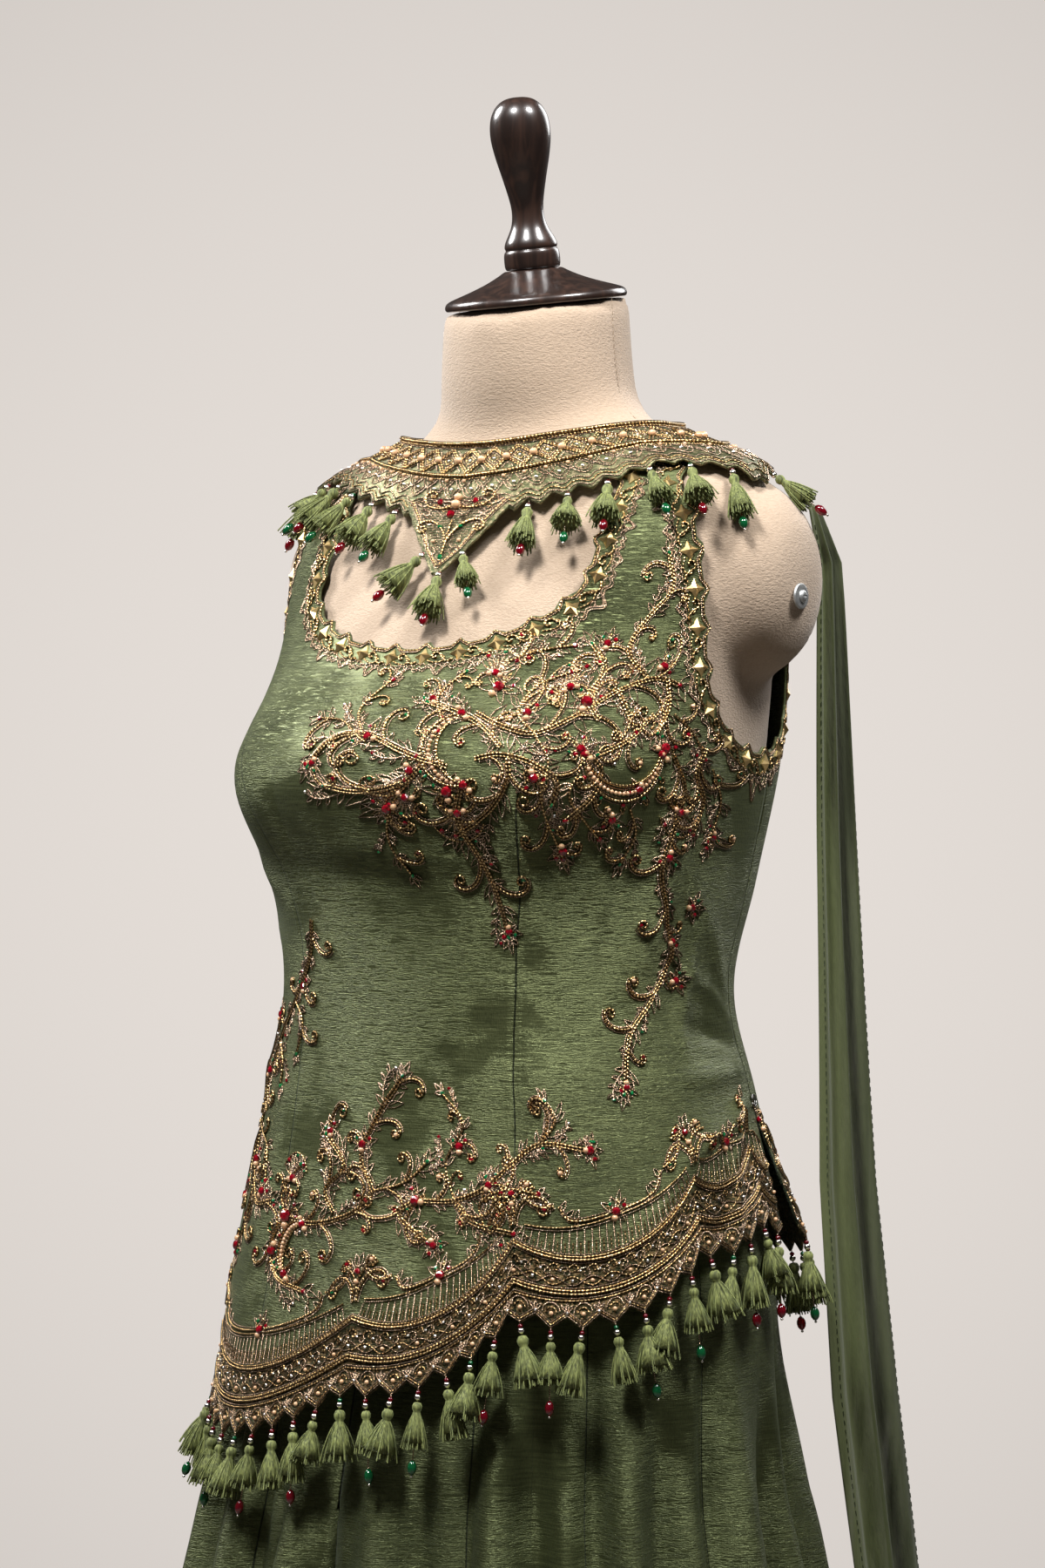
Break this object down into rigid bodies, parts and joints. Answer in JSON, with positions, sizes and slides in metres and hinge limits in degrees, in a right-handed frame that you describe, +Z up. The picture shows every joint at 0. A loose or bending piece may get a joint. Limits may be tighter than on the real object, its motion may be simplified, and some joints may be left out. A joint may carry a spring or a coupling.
{
  "type": "sharara suit on dress form",
  "caption": "Sleeveless embroidered kurti with tasselled hem, collar with a cape strip, and flared sharara, worn by a limbless dress form on a stand.",
  "frame": {"origin": "centre of the stand's underside, on the pole's axis, on the floor", "axes": "+Z up, the wearer faces -Y, the wearer's left is +X"},
  "size_m": [0.6669, 0.5816, 1.6167],
  "materials": {
    "kurti_silk": "crinkled green dupion silk, soft sheen",
    "sharara_silk": "green dupion silk, soft sheen",
    "gold_embroidery": "gold thread and bead embroidery on green silk",
    "tassel_thread": "cut silk thread",
    "chiffon": "sheer chiffon",
    "jersey": "cream cotton jersey",
    "dark_wood": "dark glossy lacquer",
    "bolt_steel": "plain",
    "hook_steel": "darkened",
    "stand_steel": "black satin"
  },
  "bodies": {
    "root": {"form_torso": "jersey", "neck_cap_disc": "dark_wood", "neck_knob": "dark_wood", "shoulder_bolt_left": "bolt_steel", "shoulder_bolt_right": "bolt_steel", "form_flange": "stand_steel", "stand_pole": "stand_steel", "stand_hub": "stand_steel", "stand_base": "stand_steel", "kurti_front_centre": "kurti_silk", "kurti_front_left": "kurti_silk", "kurti_front_right": "kurti_silk", "kurti_back": "kurti_silk", "kurti_hem_border_front": "gold_embroidery", "kurti_hem_border_back": "gold_embroidery", "hem_tassels_front": "tassel_thread", "hem_tassels_back": "tassel_thread", "kurti_side_hook": "hook_steel", "collar_front": "gold_embroidery", "collar_back": "gold_embroidery", "collar_point": "gold_embroidery", "collar_tassels_left": "tassel_thread", "collar_tassels_right": "tassel_thread", "cape_strip": "chiffon", "sharara_waistband": "sharara_silk", "kurti_neck_border": "gold_embroidery", "kurti_back_neck_border": "gold_embroidery", "kurti_armhole_border_left_front": "gold_embroidery", "kurti_armhole_border_left_back": "gold_embroidery", "kurti_armhole_border_right_front": "gold_embroidery", "kurti_armhole_border_right_back": "gold_embroidery", "sharara_left_panel_1": "sharara_silk", "sharara_left_panel_2": "sharara_silk", "sharara_left_panel_3": "sharara_silk", "sharara_left_panel_4": "sharara_silk", "sharara_left_panel_5": "sharara_silk", "sharara_left_panel_6": "sharara_silk", "sharara_left_inner": "sharara_silk", "sharara_right_panel_1": "sharara_silk", "sharara_right_panel_2": "sharara_silk", "sharara_right_panel_3": "sharara_silk", "sharara_right_panel_4": "sharara_silk", "sharara_right_panel_5": "sharara_silk", "sharara_right_panel_6": "sharara_silk", "sharara_right_inner": "sharara_silk"}
  },
  "joints": []
}
